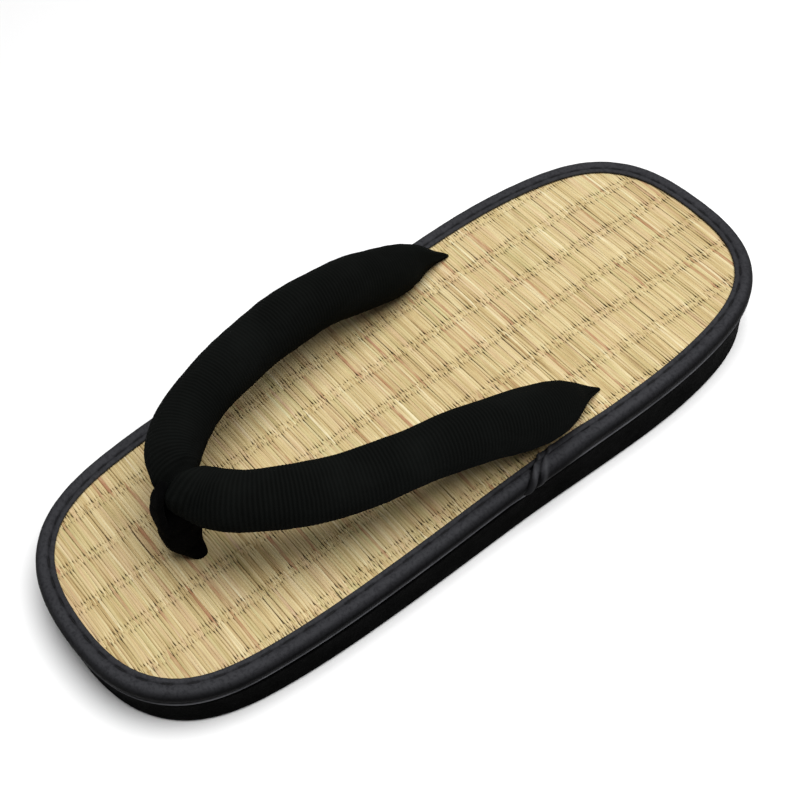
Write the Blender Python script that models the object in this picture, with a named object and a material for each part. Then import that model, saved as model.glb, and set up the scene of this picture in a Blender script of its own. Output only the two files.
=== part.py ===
"""Zori sandal: foam wedge sole, bound rush footbed, padded V straps and toe post.

Units are metres. +Z is up, +Y points to the toe, the sole rests on Z = 0.
Tables are in millimetres and read from toe to heel, or from the inside of a
section to its outside. "Top frame" means the frame of the footbed's upper
face, which leans towards the toe because the sole is a wedge.
"""
import math

import bpy
import bmesh
import numpy as np

MM = 0.001

# ---------------------------------------------------------------- sizes (mm)
TOP_HEIGHT = 21.6          # footbed face above the ground, half way along
TOE_DROP_DEG = 1.75        # lean of the footbed face towards the toe
RIM_POINTS = 104           # points round the outline
ARM_SIDES = 22             # points round a padded arm
ARM_RINGS = 40             # rings along a padded arm
POST_SIDES = 18            # points round the toe post
POST_RINGS = 22            # rings along the toe post

# Visible footbed, half outline. Columns: station along the length, half width.
OUTLINE = (
    (126.0, 0.0),
    (125.1, 12.7),
    (121.2, 24.8),
    (112.9, 34.4),
    (101.4, 39.8),
    (88.9, 42.2),
    (63.4, 44.1),
    (25.2, 44.7),
    (-13.1, 44.8),
    (-51.4, 45.9),
    (-76.9, 45.0),
    (-89.6, 43.3),
    (-102.0, 40.3),
    (-113.3, 34.6),
    (-121.5, 24.9),
    (-125.2, 12.8),
    (-126.0, 0.0),
)

# Wall sections. Columns: offset out from the visible footbed, height in the
# top frame.
FOOTBED_SECTION = (
    (3.0, 0.0),
    (3.9, -0.5),
    (4.7, -1.6),
    (4.85, -3.1),
    (4.4, -3.95),
)
BINDING_SECTION = (
    (0.2, 0.3),
    (0.0, 0.8),
    (0.5, 1.35),
    (2.0, 1.6),
    (4.0, 1.25),
    (5.6, 0.1),
    (6.4, -1.5),
    (6.5, -3.2),
    (6.1, -4.6),
    (5.0, -5.2),
    (3.0, -5.2),
    (3.0, -4.3),
    (4.7, -4.25),
    (5.25, -3.3),
    (5.2, -1.5),
    (4.4, -0.3),
    (3.4, 0.3),
)
SOLE_TOP_SECTION = (
    (2.2, -4.25),
    (2.7, -4.5),
    (2.7, -5.5),
    (5.1, -5.5),
    (5.7, -6.1),
)
# Lower wall of the sole. Columns: offset, height above the ground.
SOLE_FOOT_SECTION = (
    (5.3, 2.6),
    (5.0, 0.9),
    (4.2, 0.0),
)

# One padded arm, from the joint at the toe to the tip of its tail.
# Columns: side, station, height in the top frame, radius.
ARM = (
    (-1.5, 83.3, 34.3, 5.3),
    (4.0, 81.3, 34.0, 7.0),
    (13.6, 75.4, 33.0, 8.3),
    (21.9, 63.3, 31.3, 8.6),
    (27.7, 49.1, 29.6, 8.8),
    (34.8, 17.0, 25.8, 9.1),
    (36.5, 2.7, 21.6, 9.3),
    (37.6, -7.8, 17.8, 9.5),
    (38.5, -20.0, 12.9, 9.2),
    (38.9, -30.5, 8.4, 6.9),
    (38.9, -38.5, 4.9, 4.0),
    (38.7, -46.6, 1.65, 1.3),
)

# Toe post, from the footbed up and over the front of the joint.
# Columns: station, height in the top frame, half width, half depth.
POST = (
    (87.2, 0.4, 3.3, 3.0),
    (87.3, 4.5, 3.7, 4.0),
    (87.2, 9.5, 4.0, 4.9),
    (87.9, 14.5, 4.1, 4.9),
    (89.8, 19.5, 4.1, 3.8),
    (91.4, 24.5, 4.0, 2.35),
    (91.6, 29.5, 3.8, 1.6),
    (90.6, 34.0, 3.4, 1.3),
    (88.9, 38.0, 2.9, 1.1),
    (86.3, 41.1, 2.3, 0.9),
)

# ----------------------------------------------------------------- materials
# Columns: name, colour, roughness.
MATERIALS = (
    ("foam_sole", (0.018, 0.018, 0.019), 0.85),
    ("rush_mat", (0.62, 0.50, 0.29), 0.65),
    ("vinyl_binding", (0.022, 0.022, 0.024), 0.35),
    ("padded_cloth", (0.012, 0.013, 0.012), 0.90),
    ("velvet_post", (0.006, 0.006, 0.007), 0.95),
)


def clear_scene():
    """Remove whatever the file holds."""
    for obj in list(bpy.data.objects):
        bpy.data.objects.remove(obj, do_unlink=True)
    for mesh in list(bpy.data.meshes):
        bpy.data.meshes.remove(mesh)


def make_material(name, colour, roughness):
    """One plain Principled material."""
    mat = bpy.data.materials.new(name)
    mat.use_nodes = True
    shader = mat.node_tree.nodes["Principled BSDF"]
    shader.inputs["Base Color"].default_value = (*colour, 1.0)
    shader.inputs["Roughness"].default_value = roughness
    mat.diffuse_color = (*colour, 1.0)
    return mat


def spline(knots, rows, where):
    """Natural cubic spline of the rows (knots by columns) at the places asked."""
    knots = np.asarray(knots, float)
    rows = np.asarray(rows, float)
    count = len(knots)
    step = np.diff(knots)
    lhs = np.zeros((count, count))
    rhs = np.zeros((count, rows.shape[1]))
    lhs[0, 0] = lhs[-1, -1] = 1.0
    for i in range(1, count - 1):
        lhs[i, i - 1] = step[i - 1]
        lhs[i, i] = 2.0 * (step[i - 1] + step[i])
        lhs[i, i + 1] = step[i]
        rhs[i] = 6.0 * ((rows[i + 1] - rows[i]) / step[i]
                        - (rows[i] - rows[i - 1]) / step[i - 1])
    bend = np.linalg.solve(lhs, rhs)
    where = np.asarray(where, float)
    cell = np.clip(np.searchsorted(knots, where, side="right") - 1, 0, count - 2)
    a = (knots[cell + 1] - where)[:, None]
    b = (where - knots[cell])[:, None]
    h = step[cell][:, None]
    return ((bend[cell] * a ** 3 + bend[cell + 1] * b ** 3) / (6.0 * h)
            + (rows[cell] / h - bend[cell] * h / 6.0) * a
            + (rows[cell + 1] / h - bend[cell + 1] * h / 6.0) * b)


def chord(rows):
    """Running chord length of a table's points."""
    rows = np.asarray(rows, float)
    return np.concatenate([[0.0], np.cumsum(np.linalg.norm(np.diff(rows, axis=0), axis=1))])


def base_outline():
    """Evenly spaced points round the visible footbed, and their outward normals."""
    half = np.array([(w, s) for s, w in OUTLINE])
    other = np.array([(-w, s) for s, w in OUTLINE[-2:0:-1]])
    ring = np.vstack([half, other])
    wrap = 5
    long_ring = np.vstack([ring[-wrap:], ring, ring[:wrap + 1]])
    knots = chord(long_ring)
    start, end = knots[wrap], knots[wrap + len(ring)]
    fine = spline(knots, long_ring, np.linspace(start, end, 2001))
    run = chord(fine)
    want = np.linspace(0.0, run[-1], RIM_POINTS, endpoint=False)
    points = np.stack([np.interp(want, run, fine[:, 0]),
                       np.interp(want, run, fine[:, 1])], axis=1)
    along = np.roll(points, -1, axis=0) - np.roll(points, 1, axis=0)
    along /= np.linalg.norm(along, axis=1)[:, None]
    normal = np.stack([-along[:, 1], along[:, 0]], axis=1)
    return points, normal


def tip_over(points):
    """Top frame to ground frame: lean towards the toe, then lift."""
    points = np.asarray(points, float)
    lean = math.radians(TOE_DROP_DEG)
    out = points.copy()
    out[:, 1] = points[:, 1] * math.cos(lean) + points[:, 2] * math.sin(lean)
    out[:, 2] = (-points[:, 1] * math.sin(lean) + points[:, 2] * math.cos(lean)
                 + TOP_HEIGHT)
    return out


def rim_loop(outline, offset, height):
    """The outline pushed out by an offset, at a height in the top frame."""
    points, normal = outline
    flat = points + normal * offset
    return tip_over(np.column_stack([flat, np.full(len(flat), height)]))


def ground_loop(outline, offset, height):
    """The outline pushed out by an offset, at a height above the ground."""
    points, normal = outline
    flat = points + normal * offset
    flat = np.column_stack([flat, np.zeros(len(flat))])
    lean = math.radians(TOE_DROP_DEG)
    flat[:, 1] *= math.cos(lean)
    flat[:, 2] = height
    return flat


def finish(name, vertices, faces, material):
    """Mesh object from millimetre vertices, normals outwards, smooth shaded."""
    mesh = bpy.data.meshes.new(name)
    mesh.from_pydata([tuple(float(c) * MM for c in v) for v in vertices], [], faces)
    work = bmesh.new()
    work.from_mesh(mesh)
    bmesh.ops.remove_doubles(work, verts=work.verts, dist=0.00001)
    bmesh.ops.recalc_face_normals(work, faces=work.faces)
    if work.calc_volume(signed=True) < 0.0:
        bmesh.ops.reverse_faces(work, faces=work.faces)
    for face in work.faces:
        face.smooth = len(face.verts) < 10
    work.to_mesh(mesh)
    work.free()
    mesh.materials.append(material)
    obj = bpy.data.objects.new(name, mesh)
    bpy.context.scene.collection.objects.link(obj)
    return obj


def loft(loops, capped):
    """Quads between matching loops, closed by flat ends or joined end to end."""
    count = len(loops[0])
    vertices = np.vstack(loops)
    faces = []
    pairs = [(i, i + 1) for i in range(len(loops) - 1)]
    if not capped:
        pairs.append((len(loops) - 1, 0))
    for low, high in pairs:
        for k in range(count):
            n = (k + 1) % count
            faces.append((low * count + k, low * count + n,
                          high * count + n, high * count + k))
    if capped:
        faces.append(tuple(range(count))[::-1])
        faces.append(tuple((len(loops) - 1) * count + k for k in range(count)))
    return vertices, faces


def build_sole(outline, material):
    """Wedge of foam with a shallow rebate round its top for the binding's turn-under."""
    loops = [rim_loop(outline, d, z) for d, z in SOLE_TOP_SECTION]
    loops += [ground_loop(outline, d, z) for d, z in SOLE_FOOT_SECTION]
    return finish("foam_outsole", *loft(loops, True), material)


def build_footbed(outline, material):
    """Woven rush panel on its backing, its rim under the binding."""
    loops = [rim_loop(outline, d, z) for d, z in FOOTBED_SECTION]
    return finish("rush_footbed", *loft(loops, True), material)


def build_binding(outline, material):
    """Tape folded over the footbed's rim and turned under it, one closed ring."""
    loops = [rim_loop(outline, d, z) for d, z in BINDING_SECTION]
    return finish("edge_binding", *loft(loops, False), material)


def sweep(path, first, second, sides):
    """Closed tube along a path with two half sizes per ring, ends rounded off."""
    path = np.asarray(path, float)
    along = np.gradient(path, axis=0)
    along /= np.linalg.norm(along, axis=1)[:, None]
    loops = []
    for centre, way, a, b in zip(path, along, first, second):
        side = np.cross(way, (0.0, 0.0, 1.0)) if abs(way[2]) < 0.9 else np.array([1.0, 0.0, 0.0])
        side /= np.linalg.norm(side)
        up = np.cross(side, way)
        angle = np.linspace(0.0, 2.0 * math.pi, sides, endpoint=False)
        loops.append(centre + np.outer(np.cos(angle) * a, side) + np.outer(np.sin(angle) * b, up))
    return loops


def build_straps(material):
    """Both padded arms, joined in one piece on the middle plane at the toe."""
    rows = np.array(ARM)
    knots = chord(rows[:, :3])
    where = np.linspace(0.0, knots[-1], ARM_RINGS)
    path = spline(knots, rows[:, :3], where)
    radius = np.interp(where, knots, rows[:, 3])
    soft = spline(knots, rows[:, 3:], where)[:, 0]
    radius = 0.5 * (radius + soft)
    loops = sweep(path, radius, radius, ARM_SIDES)
    tail = path[-1] + (path[-1] - path[-2]) / np.linalg.norm(path[-1] - path[-2]) * 0.5
    loops.append(tail + (loops[-1] - path[-1]) * 0.55)
    vertices, faces = loft(loops, True)

    work = bmesh.new()
    made = [work.verts.new(tuple(float(c) * MM for c in v)) for v in tip_over(vertices)]
    for face in faces:
        work.faces.new([made[i] for i in face])
    bmesh.ops.recalc_face_normals(work, faces=work.faces)
    cut = bmesh.ops.bisect_plane(
        work, geom=work.verts[:] + work.edges[:] + work.faces[:], dist=1e-7,
        plane_co=(0.0, 0.0, 0.0), plane_no=(1.0, 0.0, 0.0), clear_inner=True)
    for item in cut["geom_cut"]:
        if isinstance(item, bmesh.types.BMVert):
            item.co.x = 0.0
    half = bpy.data.meshes.new("half_straps")
    work.to_mesh(half)
    work.free()
    count = len(half.vertices)
    right = [(v.co.x / MM, v.co.y / MM, v.co.z / MM) for v in half.vertices]
    left = [(-x, y, z) for x, y, z in right]
    polys = [tuple(p.vertices) for p in half.polygons]
    polys += [tuple(count + i for i in reversed(p.vertices)) for p in half.polygons]
    bpy.data.meshes.remove(half)
    return finish("hanao_straps", right + left, polys, material)


def build_post(material):
    """Toe post: rises from the footbed and laps the front of the joint."""
    rows = np.array(POST)
    knots = chord(rows[:, :2])
    where = np.linspace(0.0, knots[-1], POST_RINGS)
    values = spline(knots, rows, where)
    path = np.column_stack([np.zeros(len(values)), values[:, :2]])
    along = np.gradient(path, axis=0)
    along /= np.linalg.norm(along, axis=1)[:, None]
    loops = []
    angle = np.linspace(0.0, 2.0 * math.pi, POST_SIDES, endpoint=False)
    for centre, way, wide, deep in zip(path, along, values[:, 2], values[:, 3]):
        if centre is path[0]:
            way = np.array([0.0, 0.0, 1.0])
        side = np.array([1.0, 0.0, 0.0])
        back = np.cross(way, side)
        loops.append(centre + np.outer(np.cos(angle) * wide, side)
                     + np.outer(np.sin(angle) * deep, back))
    crown = path[-1] + along[-1] * 0.8
    loops.append(crown + (loops[-1] - path[-1]) * 0.45)
    loops[0][:, 2] = POST[0][1]
    vertices, faces = loft(loops, True)
    return finish("toe_post", tip_over(vertices), faces, material)


def centre_over_ground(objects):
    """Put the middle of the whole part over the origin."""
    corners = np.array([v.co[:] for obj in objects for v in obj.data.vertices])
    low, high = corners.min(axis=0), corners.max(axis=0)
    shift = ((low[0] + high[0]) / 2.0, (low[1] + high[1]) / 2.0, low[2])
    for obj in objects:
        for vertex in obj.data.vertices:
            vertex.co.x -= shift[0]
            vertex.co.y -= shift[1]
            vertex.co.z -= shift[2]
        obj.data.update()


def main():
    clear_scene()
    slots = {name: make_material(name, colour, rough) for name, colour, rough in MATERIALS}
    outline = base_outline()
    centre_over_ground([
        build_sole(outline, slots["foam_sole"]),
        build_footbed(outline, slots["rush_mat"]),
        build_binding(outline, slots["vinyl_binding"]),
        build_straps(slots["padded_cloth"]),
        build_post(slots["velvet_post"]),
    ])


main()
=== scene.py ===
"""Zori sandal, dressed: woven rush, stitched vinyl binding, foam wedge, ribbed padded straps and napped toe post.

Tables are in millimetres. "Top frame" is the frame of the footbed's upper face,
which leans towards the toe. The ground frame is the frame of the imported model.
"""
import math

import bpy
import bmesh
import numpy as np
from mathutils import Matrix, Vector


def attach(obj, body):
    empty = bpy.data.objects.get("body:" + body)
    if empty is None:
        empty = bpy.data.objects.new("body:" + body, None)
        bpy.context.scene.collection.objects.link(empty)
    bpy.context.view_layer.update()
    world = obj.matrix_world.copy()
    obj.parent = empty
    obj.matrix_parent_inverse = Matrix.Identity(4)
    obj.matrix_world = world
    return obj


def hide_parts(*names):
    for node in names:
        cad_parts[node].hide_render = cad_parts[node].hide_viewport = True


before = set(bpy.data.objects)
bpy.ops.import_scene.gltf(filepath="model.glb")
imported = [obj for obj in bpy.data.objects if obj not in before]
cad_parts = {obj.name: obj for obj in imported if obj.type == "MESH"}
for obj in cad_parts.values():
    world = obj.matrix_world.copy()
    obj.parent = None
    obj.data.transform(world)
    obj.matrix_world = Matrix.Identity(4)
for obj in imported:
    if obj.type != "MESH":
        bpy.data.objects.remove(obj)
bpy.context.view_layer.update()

MM = 0.001
TOP_HEIGHT = 21.6
LEAN = math.radians(1.75)
SHIFT_Y = -3.2 * math.sin(LEAN)

OUTLINE = (
    (126.0, 0.0), (125.1, 12.7), (121.2, 24.8), (112.9, 34.4), (101.4, 39.8),
    (88.9, 42.2), (63.4, 44.1), (25.2, 44.7), (-13.1, 44.8), (-51.4, 45.9),
    (-76.9, 45.0), (-89.6, 43.3), (-102.0, 40.3), (-113.3, 34.6), (-121.5, 24.9),
    (-125.2, 12.8), (-126.0, 0.0),
)


# ------------------------------------------------------------------ helpers
def spline(knots, rows, where):
    """Natural cubic spline of the rows at the places asked."""
    knots = np.asarray(knots, float)
    rows = np.asarray(rows, float)
    count = len(knots)
    step = np.diff(knots)
    lhs = np.zeros((count, count))
    rhs = np.zeros((count, rows.shape[1]))
    lhs[0, 0] = lhs[-1, -1] = 1.0
    for i in range(1, count - 1):
        lhs[i, i - 1] = step[i - 1]
        lhs[i, i] = 2.0 * (step[i - 1] + step[i])
        lhs[i, i + 1] = step[i]
        rhs[i] = 6.0 * ((rows[i + 1] - rows[i]) / step[i]
                        - (rows[i] - rows[i - 1]) / step[i - 1])
    bend = np.linalg.solve(lhs, rhs)
    where = np.asarray(where, float)
    cell = np.clip(np.searchsorted(knots, where, side="right") - 1, 0, count - 2)
    a = (knots[cell + 1] - where)[:, None]
    b = (where - knots[cell])[:, None]
    h = step[cell][:, None]
    return ((bend[cell] * a ** 3 + bend[cell + 1] * b ** 3) / (6.0 * h)
            + (rows[cell] / h - bend[cell] * h / 6.0) * a
            + (rows[cell + 1] / h - bend[cell + 1] * h / 6.0) * b)


def chord(rows):
    rows = np.asarray(rows, float)
    return np.concatenate([[0.0], np.cumsum(np.linalg.norm(np.diff(rows, axis=0), axis=1))])


def smooth(t):
    t = np.clip(t, 0.0, 1.0)
    return t * t * (3.0 - 2.0 * t)


def make_rim():
    """Fine samples round the visible footbed: run, points, outward normals. Starts at the toe, goes to +X."""
    half = np.array([(w, s) for s, w in OUTLINE])
    other = np.array([(-w, s) for s, w in OUTLINE[-2:0:-1]])
    ring = np.vstack([half, other])
    wrap = 5
    long_ring = np.vstack([ring[-wrap:], ring, ring[:wrap + 1]])
    knots = chord(long_ring)
    fine = spline(knots, long_ring, np.linspace(knots[wrap], knots[wrap + len(ring)], 4001))
    run = chord(fine)
    fine[:, 0] += 0.5 * smooth((fine[:, 1] - 55.0) / 65.0) - 0.8 * smooth((-fine[:, 1] - 40.0) / 75.0)
    fine[-1] = fine[0]
    way = np.roll(fine[:-1], -1, axis=0) - np.roll(fine[:-1], 1, axis=0)
    way /= np.linalg.norm(way, axis=1)[:, None]
    out = np.column_stack([-way[:, 1], way[:, 0]])
    return run, fine, np.vstack([out, out[:1]])


RIM_RUN, RIM_POINTS, RIM_OUT = make_rim()
RIM_LENGTH = RIM_RUN[-1]


def rim_at(run):
    run = np.mod(run, RIM_LENGTH)
    point = np.column_stack([np.interp(run, RIM_RUN, RIM_POINTS[:, i]) for i in (0, 1)])
    out = np.column_stack([np.interp(run, RIM_RUN, RIM_OUT[:, i]) for i in (0, 1)])
    out /= np.linalg.norm(out, axis=1)[:, None]
    return point, out


def to_ground(points):
    """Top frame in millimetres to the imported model's frame in metres."""
    points = np.asarray(points, float)
    out = points.copy()
    out[..., 1] = points[..., 1] * math.cos(LEAN) + points[..., 2] * math.sin(LEAN) - SHIFT_Y
    out[..., 2] = -points[..., 1] * math.sin(LEAN) + points[..., 2] * math.cos(LEAN) + TOP_HEIGHT
    return out * MM


def ripple(where, seed, low, high, terms=7):
    """Sum of a few sines with wavelengths between low and high, about -1 to 1."""
    rng = np.random.default_rng(seed)
    total = np.zeros_like(np.asarray(where, float))
    for _ in range(terms):
        wave = rng.uniform(low, high)
        total = total + rng.uniform(0.5, 1.0) * np.sin(2 * math.pi * where / wave + rng.uniform(0, 6.28))
    return total / (0.55 * terms)


def round_wave(run, seed, low, high, terms=7):
    """As ripple, but closing round the rim."""
    rng = np.random.default_rng(seed)
    total = np.zeros_like(np.asarray(run, float))
    for _ in range(terms):
        times = max(1, round(RIM_LENGTH / rng.uniform(low, high)))
        total = total + rng.uniform(0.5, 1.0) * np.sin(2 * math.pi * run * times / RIM_LENGTH + rng.uniform(0, 6.28))
    return total / (0.55 * terms)


def build(name, vertices, faces, material, replaces=(), attributes=None, fix_normals=False):
    """Mesh object in metres that rides on the root body."""
    mesh = bpy.data.meshes.new(name)
    mesh.from_pydata([tuple(map(float, v)) for v in vertices], [], faces)
    for key, values in (attributes or {}).items():
        made = mesh.attributes.new(key, "FLOAT", "POINT")
        made.data.foreach_set("value", np.asarray(values, np.float32))
    if fix_normals:
        work = bmesh.new()
        work.from_mesh(mesh)
        bmesh.ops.recalc_face_normals(work, faces=work.faces)
        if work.calc_volume(signed=True) < 0.0:
            bmesh.ops.reverse_faces(work, faces=work.faces)
        work.to_mesh(mesh)
        work.free()
    mesh.shade_smooth()
    mesh.materials.append(material)
    obj = bpy.data.objects.new(name, mesh)
    bpy.context.scene.collection.objects.link(obj)
    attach(obj, "root")
    if replaces:
        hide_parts(*replaces)
    return obj


def grid_faces(rows, columns, start=0, wrap_columns=True, wrap_rows=False):
    faces = []
    last = rows if wrap_rows else rows - 1
    for i in range(last):
        a = start + i * columns
        b = start + ((i + 1) % rows) * columns
        for k in range(columns if wrap_columns else columns - 1):
            n = (k + 1) % columns
            faces.append((a + k, a + n, b + n, b + k))
    return faces


def grid_normals(grid, wrap_rows=False):
    """Unit normals of a grid of points whose columns close."""
    across = np.roll(grid, -1, axis=1) - np.roll(grid, 1, axis=1)
    if wrap_rows:
        along = np.roll(grid, -1, axis=0) - np.roll(grid, 1, axis=0)
    else:
        along = np.gradient(grid, axis=0)
    normal = np.cross(along, across)
    return normal / np.maximum(np.linalg.norm(normal, axis=2), 1e-9)[:, :, None]


# ---------------------------------------------------------------- materials
class Nodes:
    """Small helper round one material's node tree."""

    def __init__(self, name):
        self.material = bpy.data.materials.new(name)
        self.material.use_nodes = True
        self.tree = self.material.node_tree
        self.shader = self.tree.nodes["Principled BSDF"]

    def new(self, kind, **settings):
        node = self.tree.nodes.new(kind)
        for key, value in settings.items():
            if isinstance(value, tuple) and key.startswith("in_"):
                node.inputs[key[3:].replace("_", " ")].default_value = value
            elif key.startswith("in_"):
                node.inputs[key[3:].replace("_", " ")].default_value = value
            else:
                setattr(node, key, value)
        return node

    def link(self, a, b):
        self.tree.links.new(a, b)

    def coordinates(self, scale):
        place = self.new("ShaderNodeTexCoord")
        mapping = self.new("ShaderNodeMapping")
        mapping.inputs["Scale"].default_value = scale
        self.link(place.outputs["Object"], mapping.inputs["Vector"])
        return mapping.outputs["Vector"]

    def attribute(self, name):
        return self.new("ShaderNodeAttribute", attribute_name=name).outputs["Fac"]

    def noise(self, vector, scale, detail=3.0, rough=0.55):
        node = self.new("ShaderNodeTexNoise")
        node.inputs["Scale"].default_value = scale
        node.inputs["Detail"].default_value = detail
        node.inputs["Roughness"].default_value = rough
        self.link(vector, node.inputs["Vector"])
        return node.outputs["Fac"]

    def ramp(self, value, stops):
        node = self.new("ShaderNodeValToRGB")
        bar = node.color_ramp
        while len(bar.elements) > 2:
            bar.elements.remove(bar.elements[-1])
        for i, (place, colour) in enumerate(stops):
            if i < 2:
                item = bar.elements[i]
                item.position = place
            else:
                item = bar.elements.new(place)
            item.color = (*colour, 1.0) if len(colour) == 3 else colour
        self.link(value, node.inputs["Fac"])
        return node.outputs["Color"]

    def mix(self, factor, a, b, blend="MIX"):
        node = self.new("ShaderNodeMix", data_type="RGBA", blend_type=blend)
        if isinstance(factor, float):
            node.inputs["Factor"].default_value = factor
        else:
            self.link(factor, node.inputs["Factor"])
        for value, slot in ((a, node.inputs[6]), (b, node.inputs[7])):
            if isinstance(value, tuple):
                slot.default_value = (*value, 1.0)
            else:
                self.link(value, slot)
        return node.outputs[2]

    def sum(self, a, b, operation="ADD"):
        node = self.new("ShaderNodeMath", operation=operation)
        for value, slot in ((a, node.inputs[0]), (b, node.inputs[1])):
            if isinstance(value, (int, float)):
                slot.default_value = value
            else:
                self.link(value, slot)
        return node.outputs[0]

    def spread(self, value, low, high, to_low, to_high):
        node = self.new("ShaderNodeMapRange")
        for key, number in (("From Min", low), ("From Max", high), ("To Min", to_low), ("To Max", to_high)):
            node.inputs[key].default_value = number
        self.link(value, node.inputs["Value"])
        return node.outputs["Result"]

    def bump(self, height, strength, distance):
        node = self.new("ShaderNodeBump")
        node.inputs["Strength"].default_value = strength
        node.inputs["Distance"].default_value = distance
        self.link(height, node.inputs["Height"])
        self.link(node.outputs["Normal"], self.shader.inputs["Normal"])
        return node


def rush_material():
    n = Nodes("rush_weave")
    long_way = n.coordinates((70.0, 2600.0, 2600.0))
    short_way = n.coordinates((210.0, 1500.0, 1500.0))
    blotch = n.coordinates((16.0, 34.0, 34.0))
    tone = n.sum(n.attribute("tone"), n.spread(n.noise(long_way, 1.0, 3.0), 0.3, 0.7, -0.30, 0.30))
    tone = n.sum(tone, n.spread(n.noise(blotch, 1.0, 3.0), 0.3, 0.7, -0.10, 0.10))
    base = n.ramp(tone, [
        (0.0, (0.305, 0.200, 0.080)), (0.22, (0.437, 0.322, 0.144)), (0.5, (0.530, 0.416, 0.207)),
        (0.78, (0.600, 0.492, 0.270)), (1.0, (0.685, 0.600, 0.378))])
    green = n.sum(n.attribute("green"), n.spread(n.noise(blotch, 1.3, 2.0), 0.30, 0.70, 0.0, 0.50), "MULTIPLY")
    base = n.mix(green, base, (0.425, 0.418, 0.182))
    base = n.mix(n.spread(n.noise(n.coordinates((30.0, 420.0, 420.0)), 1.0, 3.0), 0.50, 0.70, 0.0, 0.55), base,
                 (0.560, 0.392, 0.236))
    fine_lines = n.spread(n.noise(long_way, 0.62, 4.0), 0.55, 0.72, 0.0, 0.58)
    base = n.mix(fine_lines, base, (0.300, 0.170, 0.075))
    streak = n.sum(n.attribute("red"), n.spread(n.noise(short_way, 0.8, 3.0), 0.34, 0.60, 0.30, 1.0), "MULTIPLY")
    base = n.mix(streak, base, (0.330, 0.140, 0.070))
    # painted shade: stalks darken where they dip down between the warps and on their undersides (attribute "deep")
    base = n.mix(n.spread(n.attribute("deep"), 0.0, 1.0, 0.0, 0.62), base, (0.215, 0.142, 0.066))
    n.link(base, n.shader.inputs["Base Color"])
    n.link(n.spread(n.noise(short_way, 2.0, 3.0), 0.3, 0.7, 0.48, 0.70), n.shader.inputs["Roughness"])
    n.shader.inputs["Specular IOR Level"].default_value = 0.30
    fibres = n.coordinates((180.0, 5200.0, 5200.0))
    n.bump(n.noise(fibres, 1.0, 3.0), 0.30, 0.00010)
    return n.material


def backing_material():
    n = Nodes("rush_underlayer")
    lengthways = n.coordinates((90.0, 900.0, 900.0))
    base = n.ramp(n.noise(lengthways, 1.0, 4.0), [
        (0.3, (0.185, 0.132, 0.066)), (0.7, (0.340, 0.250, 0.132))])
    n.link(base, n.shader.inputs["Base Color"])
    n.shader.inputs["Roughness"].default_value = 0.85
    n.bump(n.noise(lengthways, 2.0, 3.0), 0.5, 0.0002)
    return n.material


def warp_material():
    n = Nodes("warp_thread")
    twist = n.coordinates((900.0, 2600.0, 900.0))
    base = n.ramp(n.noise(twist, 1.0, 3.0), [
        (0.3, (0.260, 0.200, 0.105)), (0.7, (0.520, 0.425, 0.240))])
    n.link(base, n.shader.inputs["Base Color"])
    n.shader.inputs["Roughness"].default_value = 0.9
    n.bump(n.noise(twist, 2.0, 2.0), 0.5, 0.0001)
    return n.material


def vinyl_material():
    n = Nodes("vinyl_tape")
    wide = n.coordinates((26.0, 26.0, 26.0))
    fine = n.coordinates((1.0, 1.0, 1.0))
    base = n.ramp(n.noise(wide, 1.0, 4.0), [
        (0.3, (0.0268, 0.0270, 0.0300)), (0.7, (0.0356, 0.0359, 0.0396))])
    # lighter on the roll's crest, the inner lip and the hem bead: partly wear, partly painted highlight
    wear_and_highlight = n.spread(n.attribute("crest"), 0.35, 1.0, 0.0, 0.45)
    wear_and_highlight = n.sum(wear_and_highlight, n.spread(n.noise(fine, 260.0, 5.0), 0.35, 0.75, 0.3, 1.0), "MULTIPLY")
    base = n.mix(wear_and_highlight, base, (0.0400, 0.0404, 0.0440))
    base = n.mix(n.spread(n.noise(fine, 950.0, 3.0), 0.45, 0.68, 0.0, 0.60), base, (0.0130, 0.0131, 0.0150))
    # painted shade: near black down the tape's side above the hem, in the stitch groove (darker at the stitches) and
    # along the lap's edge and creases (attribute "fold")
    base = n.mix(n.spread(n.attribute("fold"), 0.0, 1.0, 0.0, 0.96), base, (0.0012, 0.0012, 0.0014))
    # painted highlight: a thin light line along the hem bead and along the lap's bead (attribute "hem"), broken up
    # by noise
    hem_highlight_mix = n.sum(n.attribute("hem"), n.spread(n.noise(fine, 90.0, 3.0), 0.35, 0.65, 0.35, 1.0), "MULTIPLY")
    base = n.mix(hem_highlight_mix, base, (0.1300, 0.1310, 0.1400))
    n.link(base, n.shader.inputs["Base Color"])
    n.link(n.spread(n.noise(fine, 420.0, 4.0), 0.3, 0.7, 0.46, 0.62), n.shader.inputs["Roughness"])
    n.shader.inputs["Specular IOR Level"].default_value = 0.020
    cells = n.new("ShaderNodeTexVoronoi", feature="DISTANCE_TO_EDGE")
    cells.inputs["Scale"].default_value = 1500.0
    n.link(fine, cells.inputs["Vector"])
    grain = n.sum(n.spread(cells.outputs["Distance"], 0.0, 0.35, 0.0, 1.0), n.noise(fine, 900.0, 3.0))
    wrinkle = n.spread(n.noise(fine, 300.0, 4.0), 0.2, 0.8, 0.0, 3.0)
    n.bump(n.sum(grain, wrinkle), 0.34, 0.00014)
    return n.material


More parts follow.
